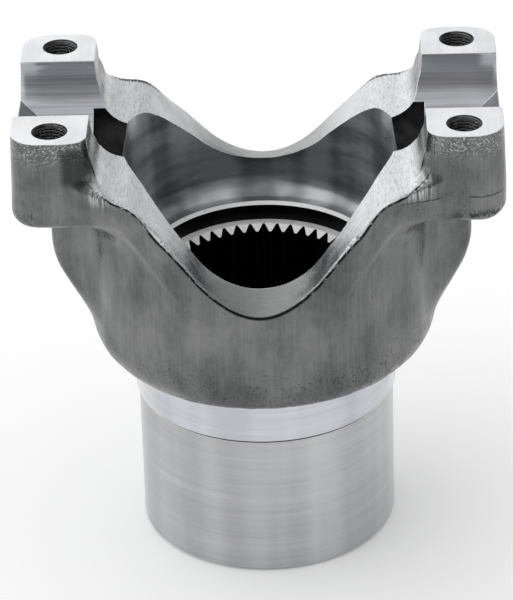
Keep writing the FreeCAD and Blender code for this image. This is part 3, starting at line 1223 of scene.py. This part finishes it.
        # painted light: the band is made lighter towards its top, with random patches on it
        band_lighting = g.total((g.spread(g.height, *self.band_light_rise), 1.0), (patches, 0.5))
        ground = g.mix(g.spread(band_lighting, *self.band_tone), self.band_shaded_low, self.band_lit_high)
        colour = g.mark(colour, ground, on_band)
        on_shelf = g.times(on_band, g.spread(g.height, *self.shelf))
        colour = g.mark(colour, self.dark, on_shelf, g.spread(g.brush, *self.dark_strokes), 0.45)
        return g.mark(colour, self.wear_and_highlight, on_shelf, g.spread(g.brush, *self.bright_strokes), 0.6)

    def painted_crease_shade(self, g: SkinGraph) -> tuple[Socket, Socket]:
        """Find the painted shade in the crease beside the U and along the ragged edge of its far side.

        Args:
            g: the skin's nodes.

        Returns:
            How strong each of the two is.
        """
        patches = g.total((g.grain((6.0, 6.0, 6.0), 2.0, 0.5), 1.0), (g.spread(g.x, -0.03, 0.03), 0.17))
        front = g.times(g.between(g.across, *self.crease_shade_band), g.spread(patches, *self.crease_shade_patches))
        ragged = g.total((g.across, 1.0), (g.brush, 5.0), (g.bands, 3.0))
        back = g.times(g.between(ragged, *self.far_edge_shade), g.spread(g.across, *self.far_edge_shade_rim),
                       g.spread(g.y, *self.far_edge_shade_y), g.spread(g.height, *self.far_edge_shade_z))
        return front, back

    def ear_marks(self, g: SkinGraph, colour: Socket) -> Socket:
        """Add the marks on the ears: a painted highlight on the feet, trim line, rusty and rubbed corner
        and scratches.

        Args:
            g: the skin's nodes.
            colour: the colour so far.

        Returns:
            The colour with the marks.
        """
        # painted highlight on the inner feet of the bosses
        colour = g.mark(colour, self.wear_and_highlight, g.between(g.reach, *self.foot_highlight_x),
                        g.between(g.height, *self.foot_highlight_z), g.spread(g.bands, *self.foot_highlight_bands),
                        g.spread(g.streaks, *self.foot_highlight_streaks), 0.5)
        wobble = g.total((g.mottle, 0.0012), (g.height, 1.0))
        colour = g.mark(colour, self.shade_and_marks, g.between(wobble, *self.trim_z),
                        g.spread(g.x, *self.trim_x), g.spread(g.bands, *self.trim_breaks), 0.8)
        corner = g.times(g.spread(g.x, *self.corner_x), g.between(g.height, *self.corner_z))
        colour = g.mark(colour, self.shade_and_marks, corner, g.spread(g.mottle, *self.corner_rust), 0.85)
        colour = g.mark(colour, self.wear_and_highlight, corner, g.spread(g.specks, *self.corner_shine), 0.6)
        scored = g.times(g.spread(g.x, *self.scored_x), g.spread(g.height, *self.scored_z))
        scratches = g.between(g.grain((1.6, 1.6, 4.0), 2.0, 0.4, 1.0), *self.scratches)
        return g.mark(colour, self.shade_and_marks, scored, scratches, 0.7)

    def pits(self, g: SkinGraph) -> Socket:
        """Find the pits low on the bowl.

        Args:
            g: the skin's nodes.

        Returns:
            How deep the skin is pitted.
        """
        low = g.total((g.spread(g.height, *self.pitted_z), 0.16), (g.specks, 1.0),
                      (g.spread(g.x, *self.pitted_x), 0.05))
        return g.times(g.spread(low, *self.pit_size), g.spread(g.mottle, *self.pit_patches))


@dataclass(frozen=True)
class Machined:
    """A machined steel surface with tool marks of its own size and direction, and, where asked, a painted
    highlight on its edges.

    The marks and clouds have a length along X, Y and Z; these, the marks' depth and the
    rounding of the edges are in millimetres, and no rounding leaves the edges sharp.
    """

    name: str
    dark: Colour
    light: Colour
    marks: Colour
    depth: float
    roughness: float
    edge: float = 0.35
    clouds: Colour = (12.0, 12.0, 12.0)
    painted_edge_highlights: bool = True
    metallic: float = 1.0
    softness: float = 0.12
    # the painted highlight along the edges
    wear_and_highlight: Colour = (0.88, 0.89, 0.90)
    rough_change: float = 0.15

    def material(self) -> bpy.types.Material:
        """Build the finish.

        Returns:
            The material.
        """
        g = Graph(self.name, self.metallic)
        marks = g.grain(self.marks, 4.0, 0.6)
        clouds = g.grain(self.clouds, 2.0, 0.5)
        tone = g.total((clouds, 0.6), (marks, 0.4))
        colour = g.mix(g.spread(tone, 0.5 - self.softness, 0.5 + self.softness), self.dark, self.light)
        rounded = g.round_edges(self.edge) if self.edge else None
        # painted highlight along the rounded edges
        if self.painted_edge_highlights:
            colour = g.mix(g.edges(rounded), colour, self.wear_and_highlight)
        smooth, coarse = (self.roughness * (1.0 + sign * self.rough_change) for sign in (-1, 1))
        rough = g.spread(marks, 0.3, 0.7, smooth, coarse)
        return g.finish(colour, rough, g.bump(marks, self.depth, rounded))


FINISHES: dict[Region, ForgedSkin | Machined] = {
    Region.FORGED: ForgedSkin(),
    Region.PAD: Machined("milled_pad", (0.70, 0.72, 0.74), (0.80, 0.81, 0.83), (1.2, 40.0, 40.0),
                         0.001, 0.26),
    Region.SADDLE: Machined("bored_saddle", (0.27, 0.28, 0.30), (0.50, 0.52, 0.54), (60.0, 0.6, 0.6),
                            0.003, 0.24, edge=0.5, clouds=(50.0, 4.0, 4.0), softness=0.22),
    # painted shade down the tapped holes, with painted highlights on the thread crests
    Region.THREAD: Machined("tapped_thread_painted_shade", (0.012, 0.012, 0.012), (0.05, 0.05, 0.052),
                            (1.0, 1.0, 1.0), 0.001, 0.30, edge=0.12),
    Region.CAVITY: Machined("turned_bowl", (0.16, 0.168, 0.175), (0.52, 0.53, 0.54), (30.0, 30.0, 6.0),
                            0.001, 0.24, edge=0.0, clouds=(13.0, 13.0, 150.0), painted_edge_highlights=False,
                            metallic=0.6),
    # painted shade on the nut recess wall
    Region.RECESS: Machined("recess_painted_shade", (0.008, 0.008, 0.009), (0.016, 0.016, 0.017),
                            (30.0, 30.0, 1.0), 0.008, 0.4, painted_edge_highlights=False),
    # painted highlight: the chamfers are painted near white
    Region.CHAMFER: Machined("chamfer_painted_highlight", (0.88, 0.88, 0.88), (0.95, 0.95, 0.96), (4.0, 4.0, 4.0),
                             0.002, 0.3, edge=0.1, metallic=0.2),
    # painted shade down the spline bore
    Region.SPLINE: Machined("broached_bore_painted_shade", (0.006, 0.006, 0.006), (0.012, 0.012, 0.012),
                            (1.0, 1.0, 40.0), 0.005, 0.45, edge=0.1, painted_edge_highlights=False),
    Region.HUB: Machined("ground_hub", (0.38, 0.392, 0.40), (0.56, 0.57, 0.58), (60.0, 60.0, 1.6),
                         0.0005, 0.24, clouds=(13.0, 13.0, 200.0), softness=0.2),
    Region.SEAL: Machined("polished_seal", (0.52, 0.54, 0.57), (0.66, 0.68, 0.71), (60.0, 60.0, 2.0),
                          0.0005, 0.12, edge=0.25, clouds=(16.0, 16.0, 200.0)),
    # painted shade in the relief cuts under the saddles and in the hub's groove
    Region.RELIEF: Machined("relief_painted_shade", (0.010, 0.010, 0.011), (0.03, 0.03, 0.03), (3.0, 3.0, 3.0),
                            0.02, 0.5, edge=0.3, painted_edge_highlights=False),
}


@dataclass
class Yoke:
    """The whole yoke: one forging, machined, with its finishes."""

    pads: float
    name: str = "yoke_forging"
    sharp: float = math.radians(32.0)
    mill_reach: float = 120.0
    mill_height: float = 20.0
    near: float = 0.08
    flat: float = 0.95
    slanted: float = 0.3
    end_on: float = 0.9

    def build(self) -> bpy.types.Object:
        """Forge, machine and dress the yoke.

        Returns:
            The finished piece.
        """
        throat = Throat(self.pads)
        forging = Forging(self.pads, throat)
        work = forging.build()
        work.name = self.name
        machine(work, Hub().build(), "UNION")
        reach = self.mill_reach
        square = np.array([(-reach, -reach), (reach, -reach), (reach, reach), (-reach, reach)])
        machine(work, prism("pad_mill", square, self.pads, self.pads + self.mill_height))
        bore = Bore(self.pads)
        machine(work, bore.turning_tool())
        machine(work, bore.broach())
        saddles, bolts = Saddles(self.pads), StrapBolts(self.pads)
        for tool in saddles.cutters() + bolts.cutters():
            machine(work, tool)
        clean(work)
        self.store_rim(work, throat, forging)
        self.dress(work, bore, saddles, bolts)
        return work

    def store_rim(self, work: bpy.types.Object, throat: Throat, forging: Forging) -> None:
        """Store how far each corner lies from the outer edge of the U, negative on its band.

        Args:
            work: the machined yoke.
            throat: the U's field.
            forging: the bowl's field.
        """
        places = corner_places(work)
        x, y, z = places.T
        rim = throat.distance(places)
        outside = fuse(forging.bowl(x, y, z, rim), forging.ear(x, y, z), forging.sweep)
        across = np.maximum(rim, 0.0) - np.maximum(-outside, 0.0)
        stored = work.data.attributes.new("rim_across", "FLOAT", "POINT")
        stored.data.foreach_set("value", across.astype(np.float32))

    def dress(self, work: bpy.types.Object, bore: Bore, saddles: Saddles, bolts: StrapBolts) -> None:
        """Give every face the finish of the region that it lies in.

        Args:
            work: the machined yoke.
            bore: the sizes of the turned hollow.
            saddles: the sizes of the bearing seats.
            bolts: the sizes of the tapped holes.
        """
        faces = len(work.data.polygons)
        centre, facing = np.empty(faces * 3), np.empty(faces * 3)
        work.data.polygons.foreach_get("center", centre)
        work.data.polygons.foreach_get("normal", facing)
        centre, facing = centre.reshape(-1, 3) / MM, facing.reshape(-1, 3)
        x, y, z = centre.T
        out, up = np.hypot(x, y), facing[:, 2]
        hub, near = Hub(), self.near
        round_seat = np.hypot(y, z - self.pads)
        relief = np.hypot(y, z - self.pads + saddles.relief_depth - saddles.relief_radius)
        hole = np.min([np.hypot(x - px, y - py) for px, py in bolts.places()], axis=0)
        broken_edge = saddles.edge_break * (np.abs(x) > saddles.outer_face - 2.0 * saddles.edge_break)
        in_groove = (z < hub.length + near) & (z > hub.length - hub.groove_width - near)
        region = np.full(faces, Region.FORGED.value)
        tests = (
            # the neck fillet above the seal keeps the darker forged finish as a painted contact shadow
            (Region.SEAL, (out < hub.seal_radius + hub.neck) & (z > hub.length - near)
             & (z < hub.bowl_base - 0.8 * hub.neck)),
            (Region.HUB, (out < hub.radius + near) & (z < hub.length)),
            # the hub's groove gets the black relief finish as painted shade
            (Region.RELIEF, (out < hub.radius - near) & (out > hub.radius - 2.0 * hub.groove_depth)
             & in_groove),
            (Region.CAVITY, (out < bore.cavity_radius + near) & (z > bore.floor - near)),
            (Region.SADDLE, (np.abs(x) > saddles.inner_face - near)
             & (round_seat < saddles.radius + near + broken_edge)
             & (np.abs(facing[:, 0]) < self.end_on)),
            # the relief cuts under the saddles get the black relief finish as painted shade
            (Region.RELIEF, (np.abs(x) < saddles.relief_end + near)
             & (relief < saddles.relief_radius + near)),
            (Region.RECESS, (out < bore.seat_radius + near) & (z < bore.floor)
             & (z > bore.seat - near)),
            (Region.CHAMFER, (out < bore.seat_radius + bore.seat_chamfer + near)
             & (up > self.slanted) & (up < self.flat)
             & (z < bore.floor) & (z > bore.floor - bore.seat_chamfer)),
            (Region.SPLINE, (out < bore.pilot_radius + near) & (z < bore.seat + near)),
            (Region.CHAMFER, (out < bore.seat_radius) & (z < bore.seat + near)
             & (z > bore.seat - bore.lead) & (up > self.slanted)),
            (Region.PAD, (z > self.pads - near) & (up > self.flat)),
            (Region.THREAD, (hole < bolts.mouth_radius + near) & (z < self.pads - near)),
        )
        for kind, inside in tests:
            region[inside] = kind.value
        work.data.materials.clear()
        for kind in Region:
            work.data.materials.append(FINISHES[kind].material())
            log.info("%s: %d faces", kind.name.lower(), int((region == kind.value).sum()))
        work.data.polygons.foreach_set("material_index", region.astype(np.int32))
        work.data.set_sharp_from_angle(angle=self.sharp)


@dataclass
class Studio:
    """A pale floor, soft light and the camera."""

    look: tuple[float, float, float] = (0.0, 0.0, 0.0827)
    distance: float = 1.04458
    azimuth: float = math.radians(1.233)
    elevation: float = math.radians(29.358)
    roll: float = math.radians(1.713)
    lens: float = 212.33
    sensor: float = 36.0
    aim_right: float = -0.00186
    aim_up: float = -0.00992
    clip: Span = (0.01, 100.0)
    floor_size: float = 4000.0
    floor_white: float = 0.97
    floor_roughness: float = 0.9
    floor_glow: float = 0.12
    fades: tuple = (("Y", -0.95, -0.40, 0.42, 1.18), ("X", 0.9, -0.7, 0.52, 1.12))

    def camera(self) -> bpy.types.Object:
        """Stand the camera at its place and make it the scene's.

        Returns:
            The camera.
        """
        turn, rise = self.azimuth, self.elevation
        back = Vector((math.sin(turn) * math.cos(rise), -math.cos(turn) * math.cos(rise), math.sin(rise)))
        right = Vector((math.cos(turn), math.sin(turn), 0.0))
        up = back.cross(right)
        tilted_right = right * math.cos(self.roll) - up * math.sin(self.roll)
        tilted_up = right * math.sin(self.roll) + up * math.cos(self.roll)
        place = Vector(self.look) + back * self.distance
        target = Vector(self.look) + tilted_right * self.aim_right + tilted_up * self.aim_up
        gaze = (place - target).normalized()
        side = tilted_up.cross(gaze).normalized()
        data = bpy.data.cameras.new("camera")
        data.lens = self.lens
        data.sensor_width = self.sensor
        data.clip_start, data.clip_end = self.clip
        made = bpy.data.objects.new("camera", data)
        bpy.context.scene.collection.objects.link(made)
        turned_axes = Matrix((side, gaze.cross(side), gaze)).transposed().to_4x4()
        made.matrix_world = Matrix.Translation(place) @ turned_axes
        bpy.context.scene.camera = made
        return made

    def floor(self) -> bpy.types.Object:
        """Lay the floor under the hub.

        Returns:
            The floor.
        """
        size = self.floor_size
        corners = np.array([(-size, -size, 0.0), (size, -size, 0.0), (size, size, 0.0), (-size, size, 0.0)])
        made = mesh_object("floor", corners, [(0, 1, 2, 3)])
        paint = bpy.data.materials.new("pale_floor")
        paint.use_nodes = True
        sockets = paint.node_tree.nodes["Principled BSDF"].inputs
        sockets["Base Color"].default_value = (*(self.floor_white,) * 3, 1.0)
        sockets["Roughness"].default_value = self.floor_roughness
        sockets["Emission Color"].default_value = PURE_WHITE
        sockets["Emission Strength"].default_value = self.floor_glow
        made.data.materials.append(paint)
        return made

    def light(self) -> None:
        """Light the scene softly: white above, behind and at the sides, dimmer at the front."""
        world = bpy.data.worlds.new("studio")
        world.use_nodes = True
        tree = world.node_tree
        background = tree.nodes["Background"]
        direction = tree.nodes.new("ShaderNodeTexCoord").outputs["Generated"]
        axes = tree.nodes.new("ShaderNodeSeparateXYZ")
        tree.links.new(direction, axes.inputs[0])
        shares = []
        for axis, *limits in self.fades:
            share = tree.nodes.new("ShaderNodeMapRange")
            share.interpolation_type = "SMOOTHSTEP"
            for name, given in zip(("From Min", "From Max", "To Min", "To Max"), limits):
                share.inputs[name].default_value = given
            tree.links.new(axes.outputs[axis], share.inputs["Value"])
            shares.append(share.outputs["Result"])
        both = tree.nodes.new("ShaderNodeMath")
        both.operation = "MULTIPLY"
        tree.links.new(shares[0], both.inputs[0])
        tree.links.new(shares[1], both.inputs[1])
        tree.links.new(both.outputs[0], background.inputs["Strength"])
        background.inputs["Color"].default_value = PURE_WHITE
        bpy.context.scene.world = world
        bpy.context.scene.view_settings.view_transform = "Standard"


def clear_stage() -> None:
    """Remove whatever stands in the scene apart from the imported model."""
    kept = set(frame["nodes"].values()) | set(frame["bodies"].values())
    for item in list(bpy.context.scene.objects):
        if item not in kept:
            bpy.data.objects.remove(item)


def main() -> None:
    """Build the yoke and the studio, and hand the piece to the frame."""
    logging.basicConfig(level=logging.INFO, format="%(name)s: %(message)s")
    clear_stage()
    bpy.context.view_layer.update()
    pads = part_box(NODE)[1].z / MM
    yoke = Yoke(pads).build()
    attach(yoke, BODY)
    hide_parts(NODE)
    log.info("%s: %d faces", yoke.name, len(yoke.data.polygons))
    studio = Studio()
    studio.floor()
    studio.light()
    studio.camera()


if __name__ == "__main__":
    main()
